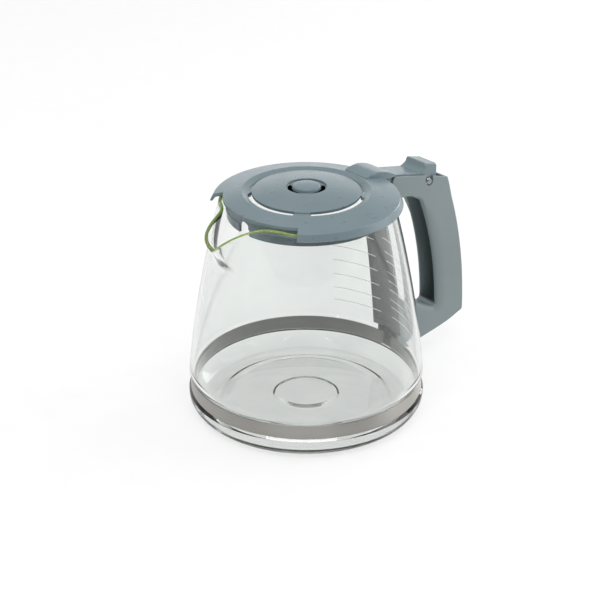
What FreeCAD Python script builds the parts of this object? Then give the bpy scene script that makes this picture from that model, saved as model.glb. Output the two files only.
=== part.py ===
"""Glass filter-coffee jug with a hinged plastic lid and a handle held on by a steel clamp band.

Millimetres. +Z is up, the origin is the centre of the resting plane, +X points to the handle and
-X to the pouring spout. The lid turns about a pin that lies along Y at the top of the handle.
"""
import FreeCAD, Part
import math
import os

import Sketcher

Vector = FreeCAD.Vector

SIZES = {
    # glass wall: outer radius at three heights, joined by a parabola
    "rim_height": 130.6,
    "rim_radius": 50.0,
    "middle_height": 75.0,
    "middle_radius": 62.4,
    "shoulder_height": 24.0,
    "shoulder_radius": 69.8,
    "glass_wall": 2.3,
    # glass base
    "belly_radius": 70.4,
    "base_rounding": 9.7,
    "floor_height": 3.6,
    "foot_inner_radius": 52.0,
    "punt_radius": 18.0,
    "punt_rise": 2.6,
    "step_radius": 45.0,
    "step_rise": 1.6,
    # pouring spout
    "spout_reach": 18.6,
    "spout_start": 98.0,
    "spout_end": 126.0,
    "spout_spread": 14.6,
    "spout_sharpness": 2.4,
    "lip_start": 51.0,
    "lip_length": 17.6,
    "lip_drop": 11.7,
    # clamp band
    "band_low": 13.1,
    "band_width": 8.4,
    "band_radius": 69.05,
    "band_thickness": 0.8,
    "groove_radius": 68.2,
    "band_gap_half": 3.9,
    "tab_end": 80.6,
    "tab_low": 16.3,
    # clamp screw, across the foot of the handle
    "screw_x": 76.0,
    "screw_z": 18.9,
    "screw_radius": 1.75,
    "screw_head_radius": 3.0,
    "screw_head_height": 2.2,
    "nut_width": 6.0,
    "nut_height": 3.0,
    # handle
    "handle_width": 19.0,
    "handle_wall": 2.4,
    "cheek_wall": 1.2,
    "grip_wall": 4.2,
    # strip on the glass
    "strip_angle": 21.5,
    "strip_low": 24.6,
    "strip_top": 126.4,
    "strip_gap": 0.15,
    "strip_thickness": 2.3,
    "strip_recess": 0.8,
    "strip_border": 1.7,
    "strip_screw_height": 121.0,
    "strip_screw_radius": 1.4,
    "strip_screw_head": 1.9,
    # hinge
    "pin_x": 89.6,
    "pin_z": 120.5,
    "pin_radius": 2.5,
    "pin_clearance": 0.06,
    # lid
    "ring_radius": 53.6,
    "ring_edge_height": 132.2,
    "crest_radius": 36.9,
    "crest_height": 136.0,
    "ring_thickness": 2.1,
    "skirt_radius": 55.4,
    "skirt_low": 128.0,
    "skirt_wall": 1.5,
    "cutaway_radius": 47.6,
    "cutaway_half_angle": 44.0,
    "cut_depth": 200.0,
    "recess_foot_radius": 33.6,
    "recess_foot_height": 134.3,
    "disc_radius": 31.1,
    "disc_edge_height": 135.7,
    "disc_centre_height": 138.6,
    "bridge_width": 9.5,
    "hole_radius": 11.5,
    "collar_radius": 45.5,
    "collar_wall": 1.6,
    "collar_low": 121.7,
    "notch_width": 8.6,
    "hump_width": 19.2,
    "lever_width": 16.0,
    # centre button
    "button_radius": 7.9,
    "button_height": 139.3,
    "button_flange_height": 137.3,
}


class Size:
    """A length that carries both its value in millimetres and the sheet formula that gives it."""

    def __init__(self, value, formula):
        self.value = value
        self.formula = formula

    def __add__(self, other):
        return combine(self, other, "+", lambda a, b: a + b)

    def __radd__(self, other):
        return combine(other, self, "+", lambda a, b: a + b)

    def __sub__(self, other):
        return combine(self, other, "-", lambda a, b: a - b)

    def __rsub__(self, other):
        return combine(other, self, "-", lambda a, b: a - b)

    def __mul__(self, other):
        return combine(self, other, "*", lambda a, b: a * b)

    def __truediv__(self, other):
        return combine(self, other, "/", lambda a, b: a / b)

    def __neg__(self):
        return combine(0.0, self, "-", lambda a, b: a - b)

    def __float__(self):
        return float(self.value)


def combine(left, right, sign, work):
    """Apply one arithmetic step to the values and to the formulas alike."""
    left = left if isinstance(left, Size) else Size(float(left), repr(float(left)))
    right = right if isinstance(right, Size) else Size(float(right), repr(float(right)))
    return Size(work(left.value, right.value), f"({left.formula} {sign} {right.formula})")


def make_sheet(document):
    """Write every driving size to a spreadsheet, one aliased cell each."""
    sheet = document.addObject("Spreadsheet::Sheet", "Sizes")
    for row, (alias, value) in enumerate(SIZES.items(), start=1):
        sheet.set(f"A{row}", alias)
        sheet.set(f"B{row}", str(value))
        sheet.setAlias(f"B{row}", alias)
    document.recompute()
    return {alias: Size(float(sheet.get(alias)), f"Sizes.{alias}") for alias in SIZES}


doc = FreeCAD.newDocument("coffee_jug")
size = make_sheet(doc)
pieces = []

middle_slope = (size["middle_radius"] - size["shoulder_radius"]) / (
    size["middle_height"] - size["shoulder_height"]
)
upper_slope = (size["rim_radius"] - size["middle_radius"]) / (size["rim_height"] - size["middle_height"])
wall_bend = (upper_slope - middle_slope) / (size["rim_height"] - size["shoulder_height"])


def wall_radius(height):
    """Outer radius of the round glass wall: a parabola through shoulder, middle and rim."""
    above = height - size["shoulder_height"]
    sloping = size["shoulder_radius"] + above * middle_slope
    return sloping + above * (height - size["middle_height"]) * wall_bend


zero = Size(0.0, "0.0")


def fixed(*numbers):
    """Lengths that belong to a single shape and that no driving dimension sets."""
    return tuple(Size(float(number), repr(float(number))) for number in numbers)


# ---------------------------------------------------------------- building helpers


def bind(thing, prop, length):
    """Set a property from the sheet."""
    thing.setExpression(prop, length.formula)


def new_body(name):
    body = doc.addObject("PartDesign::Body", name)
    body.Label = name
    pieces.append(body)
    return body


def plane_of(body, role):
    return [item for item in body.Origin.OriginFeatures if item.Role == role][0]


def new_sketch(body, name, role="XZ_Plane"):
    """A sketch on one of the body's own origin planes. On XZ_Plane its axes are X and Z."""
    sketch = body.newObject("Sketcher::SketchObject", name)
    sketch.AttachmentSupport = [(plane_of(body, role), "")]
    sketch.MapMode = "FlatFace"
    return sketch


def pin_point(sketch, geometry, point, position):
    """Hold a sketch point at sheet-driven distances from the sketch's origin."""
    for kind, length in zip(("DistanceX", "DistanceY"), position):
        if abs(float(length)) < 1e-9:
            axis = -2 if kind == "DistanceX" else -1
            sketch.addConstraint(Sketcher.Constraint("PointOnObject", geometry, point, axis))
            continue
        index = sketch.addConstraint(Sketcher.Constraint(kind, -1, 1, geometry, point, float(length)))
        if isinstance(length, Size):
            sketch.setExpression(f"Constraints[{index}]", length.formula)


def flat(position):
    return Vector(float(position[0]), float(position[1]), 0)


def outline(sketch, corners, arcs=None):
    """Draw a closed outline through corners. arcs maps an edge number to a point its arc passes."""
    arcs = arcs or {}
    start_point = {}
    end_point = {}
    count = len(corners)
    first = sketch.GeometryCount
    for number in range(count):
        here = flat(corners[number])
        there = flat(corners[(number + 1) % count])
        start_point[number], end_point[number] = 1, 2
        if number in arcs:
            through = flat(arcs[number])
            leftwards = (through - here).cross(there - here).z > 0
            if not leftwards:
                here, there = there, here
                start_point[number], end_point[number] = 2, 1
            sketch.addGeometry(Part.Arc(here, through, there))
        else:
            sketch.addGeometry(Part.LineSegment(here, there))
    for number in range(count):
        following = (number + 1) % count
        sketch.addConstraint(
            Sketcher.Constraint(
                "Coincident", first + number, end_point[number], first + following, start_point[following]
            )
        )
        pin_point(sketch, first + number, start_point[number], corners[number])
    for number, through in arcs.items():
        guide = sketch.addGeometry(Part.Point(flat(through)), True)
        pin_point(sketch, guide, 1, through)
        sketch.addConstraint(Sketcher.Constraint("PointOnObject", guide, 1, first + number))


def circle(sketch, centre, radius):
    index = sketch.addGeometry(Part.Circle(flat(centre), Vector(0, 0, 1), float(radius)))
    pin_point(sketch, index, 3, centre)
    number = sketch.addConstraint(Sketcher.Constraint("Radius", index, float(radius)))
    sketch.setExpression(f"Constraints[{number}]", radius.formula)


def revolve(body, sketch, angle=None, symmetric=False, cut=False):
    """Turn a sketch about the Z axis, as material or as a groove."""
    kind = "PartDesign::Groove" if cut else "PartDesign::Revolution"
    feature = body.newObject(kind, sketch.Name + "_turn")
    feature.Profile = sketch
    feature.ReferenceAxis = (sketch, ["V_Axis"])
    feature.Midplane = symmetric
    feature.Angle = 360.0
    if angle is not None:
        feature.Angle = float(angle)
        bind(feature, "Angle", angle)
    doc.recompute()
    return feature


def pad(body, sketch, length, symmetric=True, backwards=False):
    feature = body.newObject("PartDesign::Pad", sketch.Name + "_pad")
    feature.Profile = sketch
    feature.SideType = "Symmetric" if symmetric else "One side"
    feature.Reversed = backwards
    feature.Length = float(length)
    bind(feature, "Length", length)
    doc.recompute()
    return feature


def pocket(body, sketch, length, symmetric=True, backwards=False):
    """Cut a sketch's shape out of the body, and make sure that something was cut."""
    before = body.Shape.Volume
    feature = body.newObject("PartDesign::Pocket", sketch.Name + "_cut")
    feature.Profile = sketch
    feature.SideType = "Symmetric" if symmetric else "One side"
    feature.Reversed = backwards
    feature.Length = float(length)
    bind(feature, "Length", length)
    doc.recompute()
    if body.Shape.Volume > before - 0.5:
        raise RuntimeError(f"{feature.Name} cut nothing")
    return feature


def round_edges(body, radius, wanted):
    """Round the edges of the body's shape that wanted picks out by their centre point."""
    base = body.Tip
    names = [
        f"Edge{number}"
        for number, edge in enumerate(base.Shape.Edges, start=1)
        if wanted(edge.CenterOfMass, edge)
    ]
    if not names:
        raise RuntimeError(f"{body.Label}: no edge to round")
    feature = body.newObject("PartDesign::Fillet", body.Name + "_rounding")
    feature.Base = (base, names)
    feature.Radius = radius
    doc.recompute()
    return feature


# ---------------------------------------------------------------- glass jug


def spout_bulge(height, from_front):
    """How far the wall stands out at a height, at an angle in degrees from the spout's middle."""
    rise = (height - float(size["spout_start"])) / float(size["spout_end"] - size["spout_start"])
    rise = min(max(rise, 0.0), 1.0)
    smooth = rise * rise * (3.0 - 2.0 * rise)
    spread = abs(from_front) / float(size["spout_spread"])
    return float(size["spout_reach"]) * smooth * math.exp(-(spread ** float(size["spout_sharpness"])))


def glass_section(height, inset):
    """A closed horizontal section of the wall, spout included, moved in by inset."""
    points = []
    steps = 90
    for step in range(steps):
        angle = 360.0 * step / steps
        radius = float(wall_radius(height)) - inset + spout_bulge(height, 180.0 - angle)
        turn = math.radians(angle)
        points.append(Vector(radius * math.cos(turn), radius * math.sin(turn), height))
    curve = Part.BSplineCurve()
    curve.interpolate(Points=points, PeriodicFlag=True)
    return Part.Wire([curve.toShape()])


def glass_upper(inset, split, top):
    """The wall above the split as a solid, from stacked sections."""
    heights = [split, 70, 78, 86, 93, 98, 102, 106, 110, 114, 118, 122, 126, 130, top]
    return Part.makeLoft([glass_section(height, inset) for height in heights], True, False)


def wall_curve(inset, low, high):
    """The wall's profile as one smooth edge in the XZ plane."""
    count = 6
    heights = [low + (high - low) * step / (count - 1) for step in range(count)]
    curve = Part.BSplineCurve()
    curve.interpolate([Vector(float(wall_radius(height)) - inset, 0, height) for height in heights])
    return curve.toShape()


def turned(edges_and_points):
    """Turn a profile about Z. It is given as points in X and Z with ready-made edges among them."""
    edges = []
    here = None
    for item in edges_and_points:
        if isinstance(item, tuple):
            there = Vector(item[0], 0, item[1])
            if here is not None and here.distanceToPoint(there) > 1e-7:
                edges.append(Part.makeLine(here, there))
            here = there
        else:
            edges.append(item)
            here = item.Vertexes[-1].Point
    edges.append(Part.makeLine(here, edges[0].Vertexes[0].Point))
    face = Part.Face(Part.Wire(edges))
    return face.revolve(Vector(0, 0, 0), Vector(0, 0, 1), 360)


def arc_edge(start, through, end):
    return Part.Arc(*[Vector(x, 0, z) for x, z in (start, through, end)]).toShape()


def quarter_middle(centre, radius):
    """The middle point of the quarter circle that faces down and outwards."""
    reach = radius / math.sqrt(2)
    return (centre[0] + reach, centre[1] - reach)


def make_glass():
    """Blown glass: rounded base with pressed steps, waist groove, tapering wall, pouring spout."""
    wall = float(size["glass_wall"])
    split = 62.0
    above_rim = float(size["rim_height"]) + 4.0
    rounding = float(size["base_rounding"])
    belly = float(size["belly_radius"])
    groove = float(size["groove_radius"])
    groove_low = float(size["band_low"]) - 0.1
    groove_top = float(size["band_low"] + size["band_width"]) + 0.1
    shoulder = float(size["shoulder_height"])
    floor = float(size["floor_height"])
    punt = float(size["punt_radius"])
    punt_rise = float(size["punt_rise"])
    step = float(size["step_radius"])
    step_rise = float(size["step_rise"])

    foot_centre = (belly - rounding, rounding)
    outer_low = turned([
        (0, punt_rise), (punt, punt_rise), (punt + 1.5, step_rise), (step, step_rise),
        (float(size["foot_inner_radius"]), 0), (belly - rounding, 0),
        arc_edge((belly - rounding, 0), quarter_middle(foot_centre, rounding), (belly, rounding)),
        (belly - 0.3, groove_low - 1.4), (groove, groove_low), (groove, groove_top),
        (float(wall_radius(shoulder)), shoulder), wall_curve(0, shoulder, split), (0, split),
    ])
    corner = rounding - wall - 0.8
    corner_centre = (belly - wall - 1.4 - corner, floor + corner)
    inner_low = turned([
        (0, floor + punt_rise), (punt - 1, floor + punt_rise), (punt + 2, floor + step_rise),
        (step - 2, floor + step_rise), (step + 4, floor), (corner_centre[0], floor),
        arc_edge((corner_centre[0], floor), quarter_middle(corner_centre, corner),
                 (corner_centre[0] + corner, corner_centre[1])),
        (groove - wall, groove_low + 0.6), (groove - wall, groove_top - 0.6),
        (float(wall_radius(shoulder + 1)) - wall, shoulder + 1),
        wall_curve(wall, shoulder + 1, split), (0, split),
    ])
    outer = outer_low.fuse([glass_upper(0, split, above_rim)], 1e-3)
    inner = inner_low.fuse([glass_upper(wall, split, above_rim)], 1e-3)
    shape = outer.cut(inner).cut(above_lip())
    feature = doc.addObject("Part::Feature", "glass_jug")
    feature.Label = "glass_jug"
    feature.Shape = shape.Solids[0]
    pieces.append(feature)


def above_lip():
    """Everything above the rim: level all round, and dropping along a quarter ellipse at the spout."""
    rim = float(size["rim_height"])
    start = -float(size["lip_start"])
    length = float(size["lip_length"])
    drop = float(size["lip_drop"])
    lip_points = []
    steps = 8
    last_turn = math.radians(75)
    for step in range(steps + 1):
        turn = last_turn * step / steps
        lip_points.append(Vector(start - length * math.sin(turn), 0, rim - drop + drop * math.cos(turn)))
    lip = Part.BSplineCurve()
    lip.interpolate(lip_points)
    tip = lip_points[-1]
    slope = drop * math.sin(last_turn) / (length * math.cos(last_turn))
    beyond = 3.5
    reach = 90.0
    top = rim + 20.0
    corners = [
        tip, Vector(tip.x - beyond, 0, tip.z - slope * beyond), Vector(-reach, 0, tip.z - slope * beyond),
        Vector(-reach, 0, top), Vector(reach, 0, top), Vector(reach, 0, rim), Vector(start, 0, rim),
    ]
    edges = [lip.toShape()] + [Part.makeLine(a, b) for a, b in zip(corners, corners[1:])]
    face = Part.Face(Part.Wire(edges))
    face.translate(Vector(0, -reach, 0))
    return face.extrude(Vector(0, 2 * reach, 0))


# ---------------------------------------------------------------- clamp band and its screw


def make_band():
    """Steel strip round the waist, with both ends bent outwards into the foot of the handle."""
    body = new_body("clamp_band")
    low = size["band_low"]
    top = low + size["band_width"]
    outer = size["band_radius"]
    inner = outer - size["band_thickness"]
    ring = new_sketch(body, "band_section")
    outline(ring, [(inner, low), (outer, low), (outer, top), (inner, top)])
    revolve(body, ring)

    gap = new_sketch(body, "band_opening")
    clear = size["band_gap_half"] - size["band_thickness"]
    outline(gap, [(inner - 4, low - 1), (outer + 4, low - 1), (outer + 4, top + 1), (inner - 4, top + 1)])
    pocket(body, gap, clear * 2)

    tabs = new_sketch(body, "band_tabs", "XY_Plane")
    root = inner - 0.1
    for side in (1, -1):
        near = clear * side
        far = size["band_gap_half"] * side
        outline(tabs, [(root, near), (size["tab_end"], near), (size["tab_end"], far), (root, far)])
    bind(tabs, "AttachmentOffset.Base.z", size["tab_low"])
    pad(body, tabs, top - size["tab_low"], symmetric=False)

    def bend(point, edge):
        upright = edge.BoundBox.ZLength > 4.0 and edge.BoundBox.XLength < 0.01
        at_root = abs(point.x - float(outer)) < 0.4
        return upright and at_root and abs(abs(point.y) - float(size["band_gap_half"])) < 0.05

    round_edges(body, 1.6, bend)
    bore = new_sketch(body, "band_screw_bore")
    circle(bore, (size["screw_x"], size["screw_z"]), size["screw_radius"] + 0.15)
    pocket(body, bore, size["handle_width"])


def make_clamp_screw():
    """Pan-head screw along Y, from the far side of the handle's foot."""
    body = new_body("clamp_screw")
    head_end = size["handle_width"] / 2 - 0.4
    head_start = head_end - size["screw_head_height"]
    profile = new_sketch(body, "screw_profile")
    shank = size["screw_radius"]
    head = size["screw_head_radius"]
    tip = -(size["handle_width"] / 2 - size["handle_wall"])
    outline(profile, [
        (zero, tip), (shank - 0.4, tip), (shank, tip + 0.5), (shank, head_start),
        (head, head_start), (head, head_end - 0.7), (head - 0.8, head_end), (zero, head_end),
    ])
    revolve(body, profile)
    slot = new_sketch(body, "screw_slot")
    reach = head + 1
    slot_floor = head_end - 1.0
    outline(slot, [(-reach, slot_floor), (reach, slot_floor), (reach, head_end + 1), (-reach, head_end + 1)])
    pocket(body, slot, head / 3)
    body.Placement.Rotation = FreeCAD.Rotation(Vector(1, 0, 0), -90)
    bind(body, "Placement.Base.x", size["screw_x"])
    bind(body, "Placement.Base.z", size["screw_z"])


def make_clamp_nut():
    """Hexagon nut held in the near side of the handle's foot."""
    body = new_body("clamp_nut")
    hexagon = new_sketch(body, "nut_outline")
    corner = size["nut_width"] / math.sqrt(3)
    corners = []
    for step in range(6):
        turn = math.radians(60 * step)
        corners.append((corner * math.cos(turn), corner * math.sin(turn)))
    outline(hexagon, corners)
    circle(hexagon, (zero, zero), size["screw_radius"] + 0.02)
    pad(body, hexagon, size["nut_height"], symmetric=False)
    bind(body, "Placement.Base.x", size["screw_x"])
    bind(body, "Placement.Base.y", -size["band_gap_half"])
    bind(body, "Placement.Base.z", size["screw_z"])


# ---------------------------------------------------------------- handle


def make_strip():
    """Curved plate on the outside of the glass. Its glass side is recessed inside a raised border."""
    body = new_body("glass_strip")
    low = size["strip_low"]
    top = size["strip_top"]
    centre = (low + top) / 2
    plate = new_sketch(body, "strip_section")
    near = size["strip_gap"]
    far = near + size["strip_thickness"]
    outline(
        plate,
        [(wall_radius(low) + near, low), (wall_radius(low) + far, low),
         (wall_radius(top) + far, top), (wall_radius(top) + near, top)],
        {1: (wall_radius(centre) + far, centre), 3: (wall_radius(centre) + near, centre)},
    )
    revolve(body, plate, size["strip_angle"], symmetric=True)

    recess = new_sketch(body, "strip_recess")
    inner_low = low + size["strip_border"] * 2.6
    depth = near + size["strip_recess"]
    outline(
        recess,
        [(wall_radius(inner_low) - 2, inner_low), (wall_radius(inner_low) + depth, inner_low),
         (wall_radius(top) + depth, top + 2), (wall_radius(top) - 2, top + 2)],
        {1: (wall_radius(centre) + depth, centre + 1)},
    )
    revolve(body, recess, size["strip_angle"] - 2.9, symmetric=True, cut=True)
    bore = new_sketch(body, "strip_screw_bore", "YZ_Plane")
    circle(bore, (zero, size["strip_screw_height"]), size["strip_screw_radius"] + 0.05)
    pocket(body, bore, size["cut_depth"], symmetric=False, backwards=True)


def make_strip_screw():
    """Small screw that holds the top of the strip to the front wall of the handle."""
    body = new_body("strip_screw")
    profile = new_sketch(body, "strip_screw_profile")
    head = size["strip_screw_head"]
    shank = size["strip_screw_radius"]
    seat = wall_radius(size["strip_screw_height"]) + size["strip_gap"] + size["strip_recess"]
    tip = seat + 7.2
    outline(profile, [
        (zero, seat - 0.3), (head, seat - 0.3), (head, seat), (shank, seat),
        (shank, tip - 1.0), (shank - 0.9, tip), (zero, tip),
    ])
    revolve(body, profile)
    body.Placement.Rotation = FreeCAD.Rotation(Vector(0, 1, 0), 90)
    bind(body, "Placement.Base.z", size["strip_screw_height"])


def make_handle():
    """Hollow plastic handle: front wall, open-topped arm with two cheeks, U-section grip, foot."""
    body = new_body("handle_shell")
    front = size["strip_gap"] + size["strip_thickness"]
    band_front = size["band_radius"] + 0.2
    strip_low = size["strip_low"]
    foot_join, arm_join = fixed(53.0, 114.5)
    top_join = size["strip_top"] + 0.1
    foot_middle = (strip_low + foot_join) / 2
    arm_middle = (arm_join + top_join) / 2
    side = new_sketch(body, "handle_side")
    corners = [
        (band_front, size["band_low"] - 0.6),
        fixed(88.8, 16.1), fixed(122.6, 23.2), fixed(124.3, 25.2),
        fixed(105.0, 119.2), fixed(103.8, 120.3), fixed(85.1, 125.6), fixed(61.0, 131.0),
        fixed(59.4, 130.2), fixed(58.4, 126.5),
        (wall_radius(top_join) + front, top_join),
        (wall_radius(arm_join) + front, arm_join),
        fixed(81.0, 112.2), fixed(84.2, 109.6),
        fixed(100.6, 36.0), fixed(98.6, 33.0),
        (wall_radius(foot_join) + front, foot_join),
        (wall_radius(strip_low) + front, strip_low),
        (band_front, strip_low - 0.2),
    ]
    outline(side, corners, {
        1: fixed(106.3, 19.2),
        3: fixed(118.5, 77.1),
        10: (wall_radius(arm_middle) + front, arm_middle),
        11: fixed(69.0, 116.0),
        13: fixed(95.0, 77.3),
        15: fixed(82.2, 42.2),
        16: (wall_radius(foot_middle) + front, foot_middle),
    })
    pad(body, side, size["handle_width"])

    grip = new_sketch(body, "grip_channel")
    outline(
        grip,
        [fixed(80.0, 109.2), fixed(104.2, 109.2), fixed(121.3, 27.0), fixed(107.0, 29.0), fixed(94.0, 40.0)],
        {1: fixed(115.6, 77.0), 4: fixed(88.0, 77.0)},
    )
    pocket(body, grip, size["handle_width"] - size["grip_wall"] * 2)

    trough = new_sketch(body, "arm_trough")
    outline(trough, [
        fixed(59.0, 117.9), fixed(82.6, 114.2), fixed(85.0, 111.8), fixed(102.2, 111.8), fixed(102.2, 135.0),
        fixed(56.0, 135.0), fixed(56.0, 126.4), fixed(59.0, 126.4),
    ])
    pocket(body, trough, size["handle_width"] - size["cheek_wall"] * 2)

    foot = new_sketch(body, "foot_hollow")
    outline(foot, [
        fixed(60.0, 13.9), fixed(69.2, 14.1), fixed(86.0, 17.2), fixed(96.0, 20.8),
        fixed(94.0, 30.0), fixed(78.0, 40.0), fixed(72.0, 47.0), fixed(60.0, 47.0),
    ])
    pocket(body, foot, size["handle_width"] - size["handle_wall"] * 2)

    half_width = float(size["handle_width"]) / 2

    def long_back_edge(point, edge):
        on_side = abs(abs(point.y) - half_width) < 0.01
        return on_side and edge.Length > 20 and point.x > 100 and point.z > 22

    round_edges(body, 2.6, long_back_edge)

    pin_seat = new_sketch(body, "pin_seat")
    circle(pin_seat, (size["pin_x"], size["pin_z"]), size["pin_radius"] + size["pin_clearance"])
    pocket(body, pin_seat, size["handle_width"] + 2)
    mouth = new_sketch(body, "pin_mouth")
    seat = size["pin_radius"] + size["pin_clearance"]
    outline(mouth, [
        (size["pin_x"] - seat - 1.0, size["pin_z"] + 0.3), (size["pin_x"] + seat, size["pin_z"]),
        (size["pin_x"] + seat - 0.4, size["pin_z"] + 9), (size["pin_x"] - seat - 0.6, size["pin_z"] + 9),
    ])
    pocket(body, mouth, size["handle_width"] + 2)

    bore = new_sketch(body, "foot_screw_bore")
    circle(bore, (size["screw_x"], size["screw_z"]), size["screw_radius"] + 0.15)
    pocket(body, bore, size["handle_width"], symmetric=False, backwards=False)
    recess = new_sketch(body, "foot_head_recess")
    circle(recess, (size["screw_x"], size["screw_z"]), size["screw_head_radius"] + 0.3)
    bind(recess, "AttachmentOffset.Base.z", -size["handle_width"] / 2)
    pocket(body, recess, size["screw_head_height"] + 0.4, symmetric=False, backwards=True)

    screw_hole = new_sketch(body, "front_screw_bore", "YZ_Plane")
    circle(screw_hole, (zero, size["strip_screw_height"]), size["strip_screw_radius"] + 0.02)
    pocket(body, screw_hole, size["handle_width"] * 3, symmetric=False, backwards=True)


# ---------------------------------------------------------------- lid


def ring_slope():
    rise = size["crest_height"] - size["ring_edge_height"]
    return rise / (size["ring_radius"] - size["crest_radius"])


def ring_top(radius):
    """Height of the ring's cone at a radius."""
    return size["ring_edge_height"] + (size["ring_radius"] - radius) * ring_slope()


def make_lid_plate():
    """Domed lid: conical ring with a skirt, recess, centre disc on four bridges, hump at the hinge."""
    body = new_body("lid_plate")
    ring = new_sketch(body, "lid_section")
    thick = size["ring_thickness"]
    skirt_wall = size["skirt_wall"]
    edge = size["ring_radius"]
    under_edge = edge - skirt_wall
    recess = size["recess_foot_radius"]
    disc = size["disc_radius"]
    bore = size["hole_radius"]
    outline(ring, [
        (bore, size["disc_centre_height"] - thick), (bore, size["disc_centre_height"]),
        (disc, size["disc_edge_height"]), (disc + 0.5, size["disc_edge_height"] - 0.7),
        (recess, size["recess_foot_height"]), (size["crest_radius"], size["crest_height"]),
        (edge - 0.6, size["ring_edge_height"] + 0.1), (edge, size["ring_edge_height"] - 0.5),
        (size["skirt_radius"], size["skirt_low"]), (size["skirt_radius"] - skirt_wall, size["skirt_low"]),
        (under_edge, ring_top(under_edge) - thick),
        (size["crest_radius"] + 0.6, size["crest_height"] - thick),
        (recess, size["recess_foot_height"] - thick), (disc, size["disc_edge_height"] - thick - 0.7),
    ])
    revolve(body, ring)

    cutaway = new_sketch(body, "spout_cutaway", "XY_Plane")
    half = math.radians(float(size["cutaway_half_angle"]))
    radius = size["cutaway_radius"]
    reach = size["cutaway_radius"] * 1.5
    corners = []
    for radius_here, side in ((radius, 1), (reach, 1), (reach, -1), (radius, -1)):
        corners.append((-(radius_here * math.cos(half)), radius_here * (side * math.sin(half))))
    outline(cutaway, corners, {1: (-reach, zero), 3: (-radius, zero)})
    pocket(body, cutaway, size["cut_depth"], symmetric=False, backwards=True)

    slots = new_sketch(body, "disc_slots", "XY_Plane")
    inner = disc + 0.05
    outer = recess - 0.1
    for quarter in range(4):
        middle = math.radians(90 * quarter)
        gap = math.pi / 4
        corners = []
        for radius_here, sign in ((inner, -1), (outer, -1), (outer, 1), (inner, 1)):
            turn = middle + sign * (gap - float(size["bridge_width"]) / 2 / float(radius_here))
            corners.append((radius_here * math.cos(turn), radius_here * math.sin(turn)))
        outline(slots, corners, {
            1: (outer * math.cos(middle), outer * math.sin(middle)),
            3: (inner * math.cos(middle), inner * math.sin(middle)),
        })
    pocket(body, slots, size["cut_depth"], symmetric=False, backwards=True)

    hump = new_sketch(body, "hinge_hump")
    outline(
        hump,
        [fixed(38.4, 134.6), fixed(38.0, 135.9), fixed(43.6, 137.6), fixed(50.0, 137.2), fixed(61.2, 132.3),
         fixed(61.2, 131.3), fixed(53.0, 131.3)],
        {3: fixed(56.2, 135.2)},
    )
    pad(body, hump, size["hump_width"])


def make_lid_lever():
    """Lever arm that runs between the cheeks: tongue, flat arm, hinge knuckle, thumb tab."""
    body = new_body("lid_lever")
    side = new_sketch(body, "lever_side")
    outline(
        side,
        [fixed(55.9, 128.0), fixed(55.9, 131.25), fixed(61.25, 131.25), fixed(61.25, 131.9),
         fixed(80.4, 128.0), fixed(86.0, 132.9), fixed(95.6, 130.4), fixed(96.2, 129.8), fixed(96.2, 122.6),
         fixed(93.6, 118.2), fixed(85.6, 118.2), fixed(83.4, 122.4), fixed(64.0, 125.6)],
        {4: fixed(84.2, 129.4), 9: fixed(89.6, 115.9)},
    )
    pad(body, side, size["lever_width"])
    bore = new_sketch(body, "lever_pin_bore")
    circle(bore, (size["pin_x"], size["pin_z"]), size["pin_radius"])
    pocket(body, bore, size["handle_width"])


def make_hinge_pin():
    """Steel pin along Y, tight in the lever and free in the two cheeks."""
    body = new_body("hinge_pin")
    profile = new_sketch(body, "pin_profile")
    half = size["handle_width"] / 2 - 0.1
    radius = size["pin_radius"]
    outline(profile, [
        (zero, -half), (radius - 0.4, -half), (radius, -half + 0.4),
        (radius, half - 0.4), (radius - 0.4, half), (zero, half),
    ])
    revolve(body, profile)
    body.Placement.Rotation = FreeCAD.Rotation(Vector(1, 0, 0), -90)
    bind(body, "Placement.Base.x", size["pin_x"])
    bind(body, "Placement.Base.z", size["pin_z"])


def make_collar():
    """Ring under the lid that hangs in the mouth of the glass, with an arched notch at the spout."""
    body = new_body("lid_collar")
    section = new_sketch(body, "collar_section")
    outer = size["collar_radius"]
    inner = outer - size["collar_wall"]
    low = size["collar_low"]
    under = size["ring_thickness"] + 0.04
    flange = outer - 6.0
    bead = low + 4.6
    outline(
        section,
        [(inner, low), (outer - 0.5, low), (outer, low + 0.6), (outer, bead - 1.0), (outer, bead + 1.0),
         (outer, ring_top(outer) - under), (flange, ring_top(flange) - under),
         (flange, ring_top(flange) - under - 1.3), (inner, ring_top(inner) - under - 1.4)],
        {3: (outer + 0.6, bead)},
    )
    revolve(body, section)
    notch = new_sketch(body, "collar_notch", "YZ_Plane")
    half = size["notch_width"] / 2
    arch = low + 3.2
    outline(
        notch,
        [(-half, low - 2), (half, low - 2), (half, arch), (-half, arch)],
        {2: (zero, arch + half)},
    )
    pocket(body, notch, size["cut_depth"], symmetric=False, backwards=False)


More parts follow.
